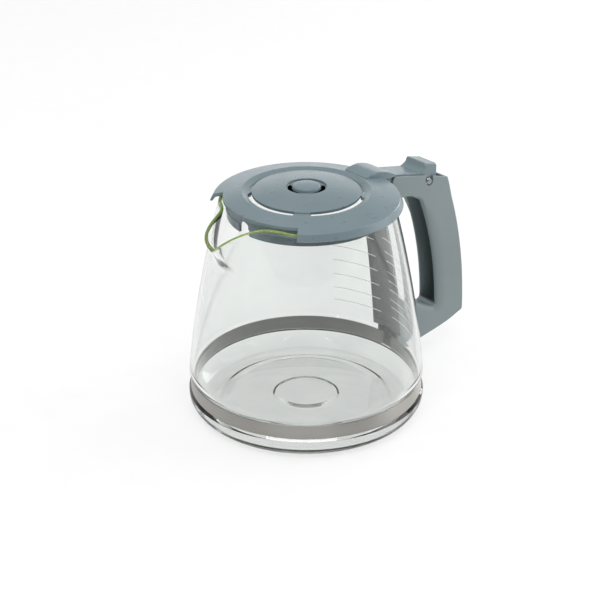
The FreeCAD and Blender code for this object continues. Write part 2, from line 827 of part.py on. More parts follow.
def make_button():
    """Raised boss in the centre of the lid: it lifts the drip valve of the coffee machine."""
    body = new_body("drip_stop_button")
    section = new_sketch(body, "button_section")
    flange = size["button_flange_height"]
    top = size["button_height"]
    wide = size["hole_radius"] - 0.05
    radius = size["button_radius"]
    under = size["disc_centre_height"] - size["ring_thickness"] - 0.04
    outline(
        section,
        [(zero, under - 1.0), (wide + 1.2, under - 1.0), (wide + 1.2, under), (wide, under),
         (wide, flange + 0.3), (wide - 0.5, flange), (radius + 0.3, flange), (radius - 0.3, top - 0.3),
         (radius - 1.0, top), (radius / 2, top + 0.4), (zero, top + 0.55)],
    )
    revolve(body, section)

    holes = new_sketch(body, "button_holes", "XY_Plane")
    inner = radius + 0.5
    groove = radius + 1.4
    outer = wide - 0.8
    narrow_span = math.radians(58)
    wide_span = math.radians(21)
    for direction in (-40.5, 139.5):
        middle = math.radians(direction)
        path = [
            (inner, -narrow_span), (groove, -narrow_span), (groove, -wide_span), (outer, -wide_span),
            (outer, wide_span), (groove, wide_span), (groove, narrow_span), (inner, narrow_span),
        ]
        corners = [(reach * math.cos(middle + turn), reach * math.sin(middle + turn)) for reach, turn in path]
        arcs = {}
        for edge in (1, 3, 5, 7):
            reach, turn = path[edge]
            halfway = middle + (turn + path[(edge + 1) % 8][1]) / 2
            arcs[edge] = (reach * math.cos(halfway), reach * math.sin(halfway))
        outline(holes, corners, arcs)
    pocket(body, holes, size["cut_depth"], symmetric=False, backwards=True)


# ---------------------------------------------------------------- check and write


def check_document():
    """Stop if any object failed to compute."""
    for item in doc.Objects:
        if "Invalid" in item.State or "Error" in item.State:
            raise RuntimeError(f"{item.Label} did not compute: {item.State}")


def write_pieces():
    os.makedirs("parts", exist_ok=True)
    for piece in pieces:
        shape = piece.Shape
        if shape.isNull() or not shape.isValid():
            raise RuntimeError(f"{piece.Label} has no valid shape")
        if len(shape.Solids) != 1:
            raise RuntimeError(f"{piece.Label} holds {len(shape.Solids)} solids")
        shape.exportStep(os.path.join("parts", piece.Label + ".step"))
        print(f"{piece.Label}: {shape.Volume / 1000:.2f} cm3")


make_glass()
make_band()
make_clamp_screw()
make_clamp_nut()
make_strip()
make_strip_screw()
make_handle()
make_lid_plate()
make_lid_lever()
make_hinge_pin()
make_collar()
make_button()
doc.recompute()
check_document()
write_pieces()
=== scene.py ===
"""Glass coffee jug: the looks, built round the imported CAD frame.

Shapes are worked out in millimetres and turned into metres when a mesh is made.
+X points to the handle, -X to the spout, +Z is up, the origin is the centre of the resting plane.
"""

import math

import bmesh
import bpy
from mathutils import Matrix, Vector


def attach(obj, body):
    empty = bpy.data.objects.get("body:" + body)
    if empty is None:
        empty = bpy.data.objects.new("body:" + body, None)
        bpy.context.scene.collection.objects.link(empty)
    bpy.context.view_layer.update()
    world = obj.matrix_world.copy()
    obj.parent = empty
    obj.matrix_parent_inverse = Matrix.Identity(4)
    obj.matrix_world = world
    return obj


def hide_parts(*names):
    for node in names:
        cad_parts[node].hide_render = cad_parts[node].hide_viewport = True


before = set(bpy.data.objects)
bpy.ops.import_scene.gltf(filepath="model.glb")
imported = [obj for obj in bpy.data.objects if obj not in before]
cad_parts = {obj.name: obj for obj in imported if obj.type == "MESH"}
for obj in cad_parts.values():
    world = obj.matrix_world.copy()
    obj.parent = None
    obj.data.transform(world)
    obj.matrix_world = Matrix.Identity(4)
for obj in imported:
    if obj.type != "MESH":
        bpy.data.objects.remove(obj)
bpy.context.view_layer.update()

MM = 0.001
STEPS = 256  # meridians of a turned piece
STATION = 360.0 / STEPS
EDGE = 0.5  # plain rounding of the handle
SLIVER = 4e-9  # square metres; smaller faces are left out when edges are picked

# sizes that more than one piece uses, in millimetres
WALL = 2.3
ROUND_TO = 62.0
BAND_INSIDE = 68.25
BAND_LOW, BAND_TOP = 13.1, 21.5
STRIP_LOW, STRIP_TOP = 24.6, 126.4
STRIP_ANGLE = 10.75
SHELL_LIFT = 1.7
HANDLE_HALF = 9.5
LEVER_HALF = 8.0
HINGE_X, HINGE_Z = 89.6, 120.5
SCREW_X, SCREW_Z = 76.0, 18.9
RING_RADIUS, RING_HEIGHT = 53.6, 132.2
CREST_RADIUS, CREST_HEIGHT = 36.9, 136.0
LID_THICK = 2.1


# ---------------------------------------------------------------- shapes


def wall_radius(z):
    """Outer radius of the glass wall, a shallow parabola."""
    return 69.8 - 0.1448 * (z - 24.0) - 0.000737 * (z - 24.0) * (z - 75.1)


def smooth(t):
    t = min(max(t, 0.0), 1.0)
    return t * t * (3.0 - 2.0 * t)


def spout_bulge(z, from_front):
    """How far the wall stands out towards the spout. from_front is in degrees from -X."""
    return 18.6 * smooth((z - 98.0) / 28.0) * math.exp(-((abs(from_front) / 14.6) ** 2.4))


def rim_height(from_front):
    """Height of the rim: level, and dropping to the pouring lip."""
    near = abs(from_front)
    level = 130.5 + 0.9 * (1.0 - smooth((near - 30.0) / 12.0))
    return level - 12.5 * math.exp(-((near / 8.7) ** 1.56))


def arc(a, b, c, count=8):
    """Points along the circle from a through b to c, without a itself."""
    (ax, ay), (bx, by), (cx, cy) = a, b, c
    aa, bb, cc = ax * ax + ay * ay, bx * bx + by * by, cx * cx + cy * cy
    d = 2 * (ax * (by - cy) + bx * (cy - ay) + cx * (ay - by))
    ux = (aa * (by - cy) + bb * (cy - ay) + cc * (ay - by)) / d
    uy = (aa * (cx - bx) + bb * (ax - cx) + cc * (bx - ax)) / d
    radius = math.hypot(ax - ux, ay - uy)
    start = math.atan2(ay - uy, ax - ux)
    middle = (math.atan2(by - uy, bx - ux) - start) % math.tau
    sweep = (math.atan2(cy - uy, cx - ux) - start) % math.tau
    if middle > sweep:
        sweep -= math.tau
    turns = [start + sweep * (i + 1) / count for i in range(count)]
    return [(ux + radius * math.cos(t), uy + radius * math.sin(t)) for t in turns]


def rounded(points, radius, steps=4, special=None):
    """A closed outline with every corner rounded. special maps a corner number to its own radius."""
    special = special or {}
    made = []
    count = len(points)
    for i, corner in enumerate(points):
        reach = special.get(i, radius)
        here = Vector(corner)
        before = Vector(points[i - 1]) - here
        after = Vector(points[(i + 1) % count]) - here
        if reach <= 0 or here.x < 1e-6 or before.length < 1e-6 or after.length < 1e-6:
            made.append(tuple(corner))
            continue
        turn = before.angle(after)
        if turn > math.radians(172):
            made.append(tuple(corner))
            continue
        cut = min(reach / math.tan(turn / 2), before.length * 0.45, after.length * 0.45)
        a = here + before.normalized() * cut
        b = here + after.normalized() * cut
        for step in range(steps + 1):
            t = step / steps
            made.append(tuple(a.lerp(here, t).lerp(here.lerp(b, t), t)))
    return made


def turned(radius, turn, z):
    """A point at a radius, an angle in radians and a height, in metres."""
    return (radius * math.cos(turn) * MM, radius * math.sin(turn) * MM, z * MM)


def on_circle(radius, degrees):
    return (radius * math.cos(math.radians(degrees)), radius * math.sin(math.radians(degrees)))


def to_object(name, bm):
    bmesh.ops.recalc_face_normals(bm, faces=bm.faces)
    mesh = bpy.data.meshes.new(name)
    bm.to_mesh(mesh)
    bm.free()
    obj = bpy.data.objects.new(name, mesh)
    bpy.context.scene.collection.objects.link(obj)
    return obj


def bridge(bm, one, two):
    """Join two rings of vertices. A ring of one vertex is a pole."""
    count = max(len(one), len(two))
    for i in range(count):
        j = (i + 1) % count
        if len(one) == 1 and len(two) == 1:
            return
        if len(one) == 1:
            bm.faces.new((one[0], two[i], two[j]))
        elif len(two) == 1:
            bm.faces.new((one[i], two[0], one[j]))
        else:
            bm.faces.new((one[i], two[i], two[j], one[j]))


def lathe(name, profile, steps=STEPS):
    """Turn a closed outline of (radius, height) about Z."""
    bm = bmesh.new()
    rings = []
    for radius, z in profile:
        if radius < 1e-6:
            rings.append([bm.verts.new((0, 0, z * MM))])
            continue
        rings.append([bm.verts.new(turned(radius, math.tau * i / steps, z)) for i in range(steps)])
    for i, ring in enumerate(rings):
        bridge(bm, ring, rings[(i + 1) % len(rings)])
    return to_object(name, bm)


def prism(name, points, half, axis="Y"):
    """A flat outline given depth. Along Y it is (x, z), along Z it is (x, y), along X it is (y, z)."""
    bm = bmesh.new()
    low, high = (-half, half) if not isinstance(half, tuple) else half

    def place(u, v, w):
        if axis == "Y":
            return (u * MM, w * MM, v * MM)
        if axis == "Z":
            return (u * MM, v * MM, w * MM)
        return (w * MM, u * MM, v * MM)

    ends = [[bm.verts.new(place(u, v, w)) for u, v in points] for w in (low, high)]
    bm.faces.new(ends[0])
    bm.faces.new(ends[1])
    bridge(bm, ends[0], ends[1])
    return to_object(name, bm)


def sector(inner, outer, middle, half_angle):
    """Outline of a ring sector, with corners on the lathe's own meridians."""
    first = math.ceil((middle - half_angle) / STATION) * STATION
    turns = [middle - half_angle]
    while first < middle + half_angle:
        turns.append(first)
        first += STATION
    turns.append(middle + half_angle)
    turns = [t for i, t in enumerate(turns) if i == 0 or t - turns[i - 1] > 1e-6]
    return [on_circle(outer, t) for t in turns] + [on_circle(inner, t) for t in reversed(turns)]


def swell(points, first, peak, last, ramp=5, spread=1.0):
    """Give each point of a run the depth and the width of its rounding, from first through peak to last."""
    made = []
    end = len(points) - 1
    for i, (x, z) in enumerate(points):
        side = first if i < end - i else last
        depth = side + (peak - side) * smooth(min(i, end - i) / ramp)
        made.append((x, z, depth, EDGE + (depth - EDGE) * spread))
    return made


def pillow(name, outline, half, steps=7):
    """A flat outline of (x, z, rounding depth, rounding width) made solid along Y, with both rims rounded."""
    count = len(outline)
    area = sum(
        outline[i - 1][0] * outline[i][1] - outline[i][0] * outline[i - 1][1] for i in range(count)
    )
    side = 1.0 if area > 0 else -1.0
    inward = []
    for i, (x, z, _, _) in enumerate(outline):
        before = Vector((x - outline[i - 1][0], z - outline[i - 1][1])).normalized()
        after = Vector((outline[(i + 1) % count][0] - x, outline[(i + 1) % count][1] - z)).normalized()
        middle = (before + after).normalized()
        stretch = 1.0 / max(middle.dot(after), 0.6)
        inward.append(Vector((-middle.y, middle.x)) * side * stretch)
    bm = bmesh.new()
    rings = []
    turns = [math.pi / 2 * (1 - i / steps) for i in range(steps + 1)]
    for face, order in ((1, turns), (-1, turns[::-1])):
        for turn in order:
            ring = []
            for (x, z, deep, wide), way in zip(outline, inward):
                inset = wide * (1 - math.cos(turn))
                depth = half - deep + deep * math.sin(turn)
                u, v = x + way.x * inset, z + way.y * inset
                ring.append(bm.verts.new((u * MM, face * depth * MM, v * MM)))
            rings.append(ring)
    for one, two in zip(rings, rings[1:]):
        bridge(bm, one, two)
    bm.faces.new(rings[0])
    bm.faces.new(rings[-1])
    return to_object(name, bm)


def solid_work(obj, other, operation):
    """Join, or cut away, another solid, and leave a plain mesh."""
    step = obj.modifiers.new("solid", "BOOLEAN")
    step.object = other
    step.operation = operation
    step.solver = "EXACT"
    graph = bpy.context.evaluated_depsgraph_get()
    made = bpy.data.meshes.new_from_object(obj.evaluated_get(graph))
    obj.modifiers.clear()
    old = obj.data
    obj.data = made
    made.name = obj.name
    bpy.data.meshes.remove(old)
    bpy.data.objects.remove(other)
    return obj


def cut(obj, other):
    return solid_work(obj, other, "DIFFERENCE")


def shade(obj, angle=35):
    for face in obj.data.polygons:
        face.use_smooth = True
    obj.data.set_sharp_from_angle(angle=math.radians(angle))
    return obj


def soften(obj, width=0.35, segments=3, angle=32, large=None, large_width=1.0):
    """Clean up a carved mesh and round its sharp edges. Edges that large picks out get a larger radius."""
    bm = bmesh.new()
    bm.from_mesh(obj.data)
    bmesh.ops.remove_doubles(bm, verts=bm.verts, dist=0.00002)
    bmesh.ops.dissolve_degenerate(bm, edges=bm.edges, dist=0.00003)
    bmesh.ops.dissolve_limit(bm, angle_limit=math.radians(0.4), verts=bm.verts, edges=bm.edges)
    stray = [face for face in bm.faces if all(len(item.link_faces) == 1 for item in face.edges)]
    bmesh.ops.delete(bm, geom=stray, context="FACES")
    widest = large_width if large else width
    layer = bm.edges.layers.float.new("bevel_weight_edge")
    for item in bm.edges:
        sides = item.link_faces
        if len(sides) != 2 or min(face.calc_area() for face in sides) < SLIVER:
            continue
        if item.calc_face_angle() > math.radians(angle):
            item[layer] = 1.0 if large and all(large(v.co / MM) for v in item.verts) else width / widest
    bm.to_mesh(obj.data)
    bm.free()
    edge = obj.modifiers.new("edges", "BEVEL")
    edge.width = widest * MM
    edge.segments = segments
    edge.limit_method = "WEIGHT"
    edge.use_clamp_overlap = False
    edge.miter_outer = "MITER_ARC"
    for face in obj.data.polygons:
        face.use_smooth = True
    normals = obj.modifiers.new("normals", "WEIGHTED_NORMAL")
    normals.keep_sharp = True
    normals.weight = 100
    return obj


# ---------------------------------------------------------------- materials


class Look:
    """A node material with its Principled shader."""

    def __init__(self, name):
        self.material = bpy.data.materials.new(name)
        self.material.use_nodes = True
        self.nodes = self.material.node_tree.nodes
        self.links = self.material.node_tree.links
        self.shader = self.nodes["Principled BSDF"]
        self.coordinates = self.nodes.new("ShaderNodeTexCoord")

    def set(self, **values):
        for key, value in values.items():
            self.shader.inputs[key.replace("_", " ")].default_value = value
        return self

    def noise(self, scale, detail=3.0, vector=None):
        node = self.nodes.new("ShaderNodeTexNoise")
        node.inputs["Scale"].default_value = scale
        node.inputs["Detail"].default_value = detail
        self.links.new(vector or self.coordinates.outputs["Object"], node.inputs["Vector"])
        return node.outputs["Fac"]

    def ramp(self, value, stops):
        node = self.nodes.new("ShaderNodeValToRGB")
        while len(node.color_ramp.elements) < len(stops):
            node.color_ramp.elements.new(0.5)
        for element, (place, colour) in zip(node.color_ramp.elements, stops):
            element.position = place
            element.color = (*colour, 1) if len(colour) == 3 else colour
        self.links.new(value, node.inputs["Fac"])
        return node.outputs["Color"]

    def grey(self, value, low, high):
        node = self.nodes.new("ShaderNodeMapRange")
        node.inputs["From Min"].default_value = 0.3
        node.inputs["From Max"].default_value = 0.7
        node.inputs["To Min"].default_value = low
        node.inputs["To Max"].default_value = high
        self.links.new(value, node.inputs["Value"])
        return node.outputs["Result"]

    def bump(self, height, strength, distance):
        node = self.nodes.new("ShaderNodeBump")
        node.inputs["Strength"].default_value = strength
        node.inputs["Distance"].default_value = distance
        self.links.new(height, node.inputs["Height"])
        self.links.new(node.outputs["Normal"], self.shader.inputs["Normal"])

    def join(self, output, key):
        self.links.new(output, self.shader.inputs[key])

    def round_the_jug(self, along, across):
        """Coordinates that run round the Z axis, for a grain that follows the band."""
        split = self.nodes.new("ShaderNodeSeparateXYZ")
        self.links.new(self.coordinates.outputs["Object"], split.inputs[0])
        turn = self.nodes.new("ShaderNodeMath")
        turn.operation = "ARCTAN2"
        self.links.new(split.outputs["Y"], turn.inputs[0])
        self.links.new(split.outputs["X"], turn.inputs[1])
        joined = self.nodes.new("ShaderNodeCombineXYZ")
        for source, factor, target in ((turn.outputs[0], along, "X"), (split.outputs["Z"], across, "Z")):
            scaled = self.nodes.new("ShaderNodeMath")
            scaled.operation = "MULTIPLY"
            scaled.inputs[1].default_value = factor
            self.links.new(source, scaled.inputs[0])
            self.links.new(scaled.outputs[0], joined.inputs[target])
        return joined.outputs[0]


def plastic_look(name, colour, roughness=0.42):
    look = Look(name)
    tint = look.noise(22.0, 2.0)
    low = tuple(c * 0.965 for c in colour)
    high = tuple(min(1.0, c * 1.035) for c in colour)
    look.join(look.ramp(tint, [(0.35, low), (0.65, high)]), "Base Color")
    look.join(look.grey(look.noise(130.0), roughness - 0.04, roughness + 0.05), "Roughness")
    look.set(IOR=1.52)
    return look.material


def glass_look(name, low, high, clear=1.0, painted_glow=None):
    """Clear blown glass, with two tints mixed unevenly. The last argument is painted light: an emission that
    makes a cut edge shine with no lamp on it.
    """
    look = Look(name)
    if painted_glow:
        # painted light: the edge shines by its own emission, not by any lamp
        look.set(Emission_Color=(*painted_glow, 1), Emission_Strength=1.0)
    look.join(look.ramp(look.noise(30.0), [(0.3, low), (0.7, high)]), "Base Color")
    look.set(Roughness=0.0, IOR=1.47, Transmission_Weight=clear)
    look.bump(look.noise(1.0, 1.0, look.round_the_jug(5.0, 30.0)), 0.03, 0.0006)
    inside = look.nodes.new("ShaderNodeVolumeAbsorption")
    inside.inputs["Color"].default_value = (0.80, 0.84, 0.78, 1)
    inside.inputs["Density"].default_value = 14.0
    look.links.new(inside.outputs[0], look.nodes["Material Output"].inputs["Volume"])
    return look.material


def brushed_look(name, colour, roughness, along=7.0, across=5200.0):
    look = Look(name)
    grain = look.noise(1.0, 4.0, look.round_the_jug(along, across))
    low = tuple(c * 0.86 for c in colour)
    look.join(look.ramp(grain, [(0.3, low), (0.7, colour)]), "Base Color")
    look.join(look.grey(grain, roughness - 0.07, roughness + 0.09), "Roughness")
    look.bump(grain, 0.10, 0.00008)
    look.set(Metallic=1.0, Anisotropic=0.9, Anisotropic_Rotation=0.25)
    tangent = look.nodes.new("ShaderNodeTangent")
    tangent.direction_type = "RADIAL"
    tangent.axis = "Z"
    look.join(tangent.outputs[0], "Tangent")
    return look.material


def metal_look(name, colour, roughness, scale=420.0):
    look = Look(name)
    spots = look.noise(scale)
    low = tuple(c * 0.88 for c in colour)
    look.join(look.ramp(spots, [(0.35, low), (0.65, colour)]), "Base Color")
    look.join(look.grey(spots, roughness - 0.05, roughness + 0.08), "Roughness")
    look.bump(spots, 0.08, 0.00005)
    look.set(Metallic=1.0)
    return look.material


def enamel_look():
    look = Look("white_enamel")
    grain = look.noise(900.0)
    look.join(look.ramp(grain, [(0.3, (0.80, 0.81, 0.80)), (0.7, (0.90, 0.90, 0.89))]), "Base Color")
    look.bump(grain, 0.1, 0.00005)
    # the white emission is painted light: it keeps the printed lines bright whatever light falls on them
    look.set(Roughness=0.45, Emission_Color=(1.0, 0.98, 0.90, 1), Emission_Strength=0.50)
    return look.material


PLASTIC = (0.215, 0.262, 0.270)
plastic = plastic_look("blue_grey_plastic", PLASTIC)
lid_plastic = plastic_look("blue_grey_lid_plastic", (0.172, 0.232, 0.256), 0.30)
glass = glass_look("jug_glass", (0.865, 0.88, 0.875), (0.915, 0.93, 0.92))
# green tint of the glass seen through its edge, plus an emission that is painted light on the rim
rim_glass = glass_look("jug_glass_rim", (0.24, 0.33, 0.07), (0.50, 0.58, 0.25), 0.68, (0.05, 0.09, 0.01))
steel = brushed_look("brushed_band_steel", (0.47, 0.457, 0.43), 0.48)
zinc = metal_look("zinc_plate", (0.62, 0.62, 0.60), 0.35)
pin_steel = metal_look("satin_pin", (0.30, 0.32, 0.33), 0.30)
enamel = enamel_look()


def dress(obj, material, body, slot, *nodes):
    obj.data.materials.clear()
    obj.data.materials.append(material)
    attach(obj, body)
    if nodes:
        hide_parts(*nodes)
    return obj


# ---------------------------------------------------------------- glass jug


def jug_turns():
    """Angles round the jug, closer together at the spout, in degrees from +X."""
    turns = [180.0 + 0.7 * i for i in range(-60, 61)]
    rest = 360.0 - 84.0
    count = 196
    return turns + [222.0 + rest * i / count for i in range(1, count)]


def make_glass():
    base = rounded([
        (0, 2.6), (18, 2.6), (19.6, 1.5), (45, 1.5), (52, 0.0), (58, 0.0),
    ], 1.2, 4)[:-3] + [(60.5, 0.0)] + arc((60.5, 0.0), (67.36, 2.84), (70.2, 9.7), 12)
    waist = rounded([
        (70.2, 9.7), (70.15, 11.4), (68.2, 13.05), (68.2, 21.6), (wall_radius(24.0), 24.0), (69.3, 28.0),
        (0, 28),
    ], 0.8, 4)[5:-8]
    outer_low = base + waist
    heights = [STRIP_LOW + (ROUND_TO - STRIP_LOW) * i / 12 for i in range(13)]
    outer_low += [(wall_radius(z), z) for z in heights]

    inner_low = [(wall_radius(z) - WALL, z) for z in reversed(heights)]
    inner_low += rounded([
        (67.2, 24.0), (66.0, 20.8), (66.0, 14.0), (66.6, 10.6), (60.2, 3.7), (49, 3.7), (43, 5.1), (20, 5.1),
        (17, 6.2), (0, 6.2),
    ], 1.4, 4, {4: 7.0, 3: 2.0})[5:]

    rows = 34
    turns = jug_turns()
    bm = bmesh.new()
    rings = []

    def level(profile_point):
        radius, z = profile_point
        if radius < 1e-6:
            return [bm.verts.new((0, 0, z * MM))]
        return [bm.verts.new(turned(radius, math.radians(t), z)) for t in turns]

    def upper(share, inset, rise=None):
        ring = []
        for t in turns:
            off = t - 180.0
            if off > 180.0:
                off -= 360.0
            top = rim_height(off)
            lip = WALL / 2
            z = ROUND_TO + (top - lip - ROUND_TO) * share
            radius = wall_radius(z) + spout_bulge(z, off) - inset
            if rise is not None:
                radius = wall_radius(z) + spout_bulge(z, off) - lip + lip * math.cos(rise)
                z += lip * math.sin(rise)
            ring.append(bm.verts.new(turned(radius, math.radians(t), z)))
        return ring

    for point in outer_low:
        rings.append(level(point))
    for row in range(1, rows + 1):
        rings.append(upper(row / rows, 0.0))
    for step in range(1, 8):
        rings.append(upper(1.0, 0.0, math.pi * step / 8))
    for row in range(rows, 0, -1):
        rings.append(upper(row / rows, WALL))
    for point in inner_low:
        rings.append(level(point))
    first_rim = len(outer_low) + rows - 1
    rim_faces = []
    for number, (one, two) in enumerate(zip(rings, rings[1:])):
        before = len(bm.faces)
        bridge(bm, one, two)
        if first_rim <= number < first_rim + 8:
            rim_faces += range(before, len(bm.faces))
    jug = to_object("jug_glass", bm)
    shade(jug, 60)
    dress(jug, glass, "jug", "glass", "glass_jug")
    jug.data.materials.append(rim_glass)
    for number in rim_faces:
        jug.data.polygons[number].material_index = 1
    return jug


def make_graduations(name, heights, first, last):
    """Thin printed lines on the outside of the glass."""
    bm = bmesh.new()
    count = 26
    half = 0.27
    for z in heights:
        rows = []
        for i in range(count + 1):
            turn = math.radians(first + (last - first) * i / count)
            ring = []
            for dz, lift in ((-half, 0.0), (-half, 0.045), (half, 0.045), (half, 0.0)):
                radius = wall_radius(z + dz) + 0.01 + lift
                ring.append(bm.verts.new(turned(radius, turn, z + dz)))
            rows.append(ring)
        for one, two in zip(rows, rows[1:]):
            bridge(bm, one, two)
        bm.faces.new(rows[0])
        bm.faces.new(rows[-1])
    lines = to_object(name, bm)
    shade(lines, 40)
    return dress(lines, enamel, "jug", "glass")


# ---------------------------------------------------------------- clamp band


def make_band():
    """Steel strip with rolled edges, both ends bent out into the foot of the handle."""
    thick = 0.8
    path = []
    tab = [(80.5, 3.1), (76.0, 3.1), (71.6, 3.1), (69.6, 3.1), (68.9, 3.2), (68.45, 3.5)]
    for x, y in tab:
        path.append((x, y, 0.0, 1.0, 16.3))
    path[-2] = (68.9, 3.2, 0.35, 0.94, 16.3)
    path[-1] = (68.45, 3.5, 0.75, 0.66, BAND_LOW)
    first = 4.2
    count = 300
    for i in range(count + 1):
        turn = math.radians(first + (360.0 - 2 * first) * i / count)
        nx, ny = math.cos(turn), math.sin(turn)
        path.append((BAND_INSIDE * nx, BAND_INSIDE * ny, nx, ny, BAND_LOW))
    for x, y, nx, ny, low in list(reversed(path[:len(tab)])):
        path.append((x, -y, nx, -ny, low))
    bm = bmesh.new()
    rings = []
    for x, y, nx, ny, low in path:
        section = rounded([(1.0, low), (1.0 + thick, low), (1.0 + thick, BAND_TOP), (1.0, BAND_TOP)], 0.22, 3)
        ring = []
        for u, z in section:
            out = u - 1.0
            ring.append(bm.verts.new(((x + nx * out) * MM, (y + ny * out) * MM, z * MM)))
        rings.append(ring)
    for one, two in zip(rings, rings[1:]):
        bridge(bm, one, two)
    bm.faces.new(rings[0])
    bm.faces.new(rings[-1])
    band = to_object("clamp_band_formed", bm)
    shade(band, 50)
    return dress(band, steel, "jug", "steel_band", "clamp_band")


# ---------------------------------------------------------------- handle


def make_strip():
    """Curved plate on the glass, with a raised border on its glass side."""
    turns = [-STRIP_ANGLE, -9.35, -9.2] + [-8.4 + 16.8 * i / 20 for i in range(21)] + [9.2, 9.35, STRIP_ANGLE]
    heights = [STRIP_LOW, 29.0, 29.3] + [30.5 + (STRIP_TOP - 30.5) * i / 80 for i in range(81)]
    bm = bmesh.new()

    def sheet(depth):
        rows = []
        for z in heights:
            rows.append([])
            for t in turns:
                radius = wall_radius(z) + depth(t, z)
                rows[-1].append(bm.verts.new(turned(radius, math.radians(t), z)))
        return rows

    near = sheet(lambda t, z: 0.95 if abs(t) < 9.3 and z > 29.2 else 0.15)
    far = sheet(lambda t, z: 2.45)
    for rows in (near, far):
        for low, high in zip(rows, rows[1:]):
            for i in range(len(turns) - 1):
                bm.faces.new((low[i], low[i + 1], high[i + 1], high[i]))
    for one, two in zip(range(len(heights) - 1), range(1, len(heights))):
        for side in (0, -1):
            bm.faces.new((near[one][side], near[two][side], far[two][side], far[one][side]))
    for i in range(len(turns) - 1):
        for end in (0, -1):
            bm.faces.new((near[end][i], near[end][i + 1], far[end][i + 1], far[end][i]))
    strip = to_object("strip_moulding", bm)
    soften(strip, 0.3, 2, 50)
    return dress(strip, plastic, "jug", "plastic", "glass_strip")


def circle_points(x, z, radius, count=48):
    turns = [math.tau * i / count for i in range(count)]
    return [(x + radius * math.cos(t), z + radius * math.sin(t)) for t in turns]


def make_handle():
    """D-shaped handle: rounded outside, grip channel, lever trough, hollow foot, hinge seats, screw way."""

    def by_glass(heights):
        return [(wall_radius(z) + SHELL_LIFT, z) for z in heights]

    joint = [126.5 + (114.5 - 126.5) * i / 6 for i in range(7)]
    foot = [53.0 + (STRIP_LOW - 53.0) * i / 10 for i in range(11)]
    side = [(69.25, 12.5, EDGE, EDGE), (88.8, 16.1, EDGE, EDGE)]
    side += swell(arc((88.8, 16.1), (106.3, 19.2), (122.6, 23.2), 10), EDGE, EDGE, 2.0, 4)
    side += [(123.6, 23.8, 2.1, 2.1), (124.3, 25.2, 2.2, 2.2)]
    side += swell(arc((124.3, 25.2), (118.5, 77.1), (105.0, 119.2), 36), 2.2, 2.4, EDGE, 6)
    top = [(104.7, 119.9), (103.8, 120.3), (98.0, 121.9), (92.0, 123.8), (85.1, 125.6), (72.6, 128.5)]
    top += [(61.0, 131.0), (59.9, 130.9), (59.4, 130.2), (58.4, 126.5)]
    top += by_glass(joint)
    top += arc(*by_glass([114.5]), (69.0, 116.0), (81.0, 112.2), 12)
    side += [(x, z, EDGE, EDGE) for x, z in top + [(82.8, 111.2), (84.2, 109.6)]]
    side += swell(arc((84.2, 109.6), (95.0, 77.3), (100.6, 36.0), 30), EDGE, 3.0, 3.0, 6, 3.0)
    side += [(100.4, 34.2, 3.0, 6.6), (98.6, 33.0, 3.0, 5.5)]
    side += swell(arc((98.6, 33.0), (82.2, 42.2), *by_glass([53.0]), 16), 3.0, 3.0, EDGE, 6, 1.8)
    side += [(x, z, EDGE, EDGE) for x, z in by_glass(foot[1:])]
    side += [(69.25, 24.4, EDGE, EDGE)]
    handle = pillow("handle_moulding", side, HANDLE_HALF)

    channel = [(80.0, 109.2), (104.2, 109.2)] + arc((104.2, 109.2), (115.6, 77.0), (121.3, 27.0), 30)
    channel += [(107.0, 29.0), (94.0, 40.0)] + arc((94.0, 40.0), (88.0, 77.0), (80.0, 109.2), 8)[:-1]
    cut(handle, prism("channel", channel, 6.0))
    trough = [(59.0, 117.9), (82.6, 114.2), (85.0, 111.8), (102.2, 111.8), (102.2, 135.0)]
    trough += [(56.0, 135.0), (56.0, 126.4), (59.0, 126.4)]
    cut(handle, prism("trough", trough, 8.3))
    hollow = [(60, 13.9), (69.2, 14.1), (86, 17.2), (96, 20.8), (94, 30), (78, 40), (72, 47), (60, 47)]
    cut(handle, prism("hollow", hollow, 7.1))
    cut(handle, prism("seat", circle_points(HINGE_X, HINGE_Z, 2.56), 11.0))
    mouth = [(86.04, 120.8), (92.16, 120.5), (91.76, 129.5), (86.44, 129.5)]
    cut(handle, prism("mouth", mouth, 11.0))
    cut(handle, prism("screw_way", circle_points(SCREW_X, SCREW_Z, 1.9), (2.0, 11.0)))
    cut(handle, prism("screw_sink", circle_points(SCREW_X, SCREW_Z, 3.3), (6.9, 11.0)))

    soften(handle, 0.38, 3, 34)
    return dress(handle, plastic, "jug", "plastic", "handle_shell")


# ---------------------------------------------------------------- lid


def ring_top(radius):
    """Height of the lid's conical ring."""
    return RING_HEIGHT + (RING_RADIUS - radius) * (CREST_HEIGHT - RING_HEIGHT) / (RING_RADIUS - CREST_RADIUS)


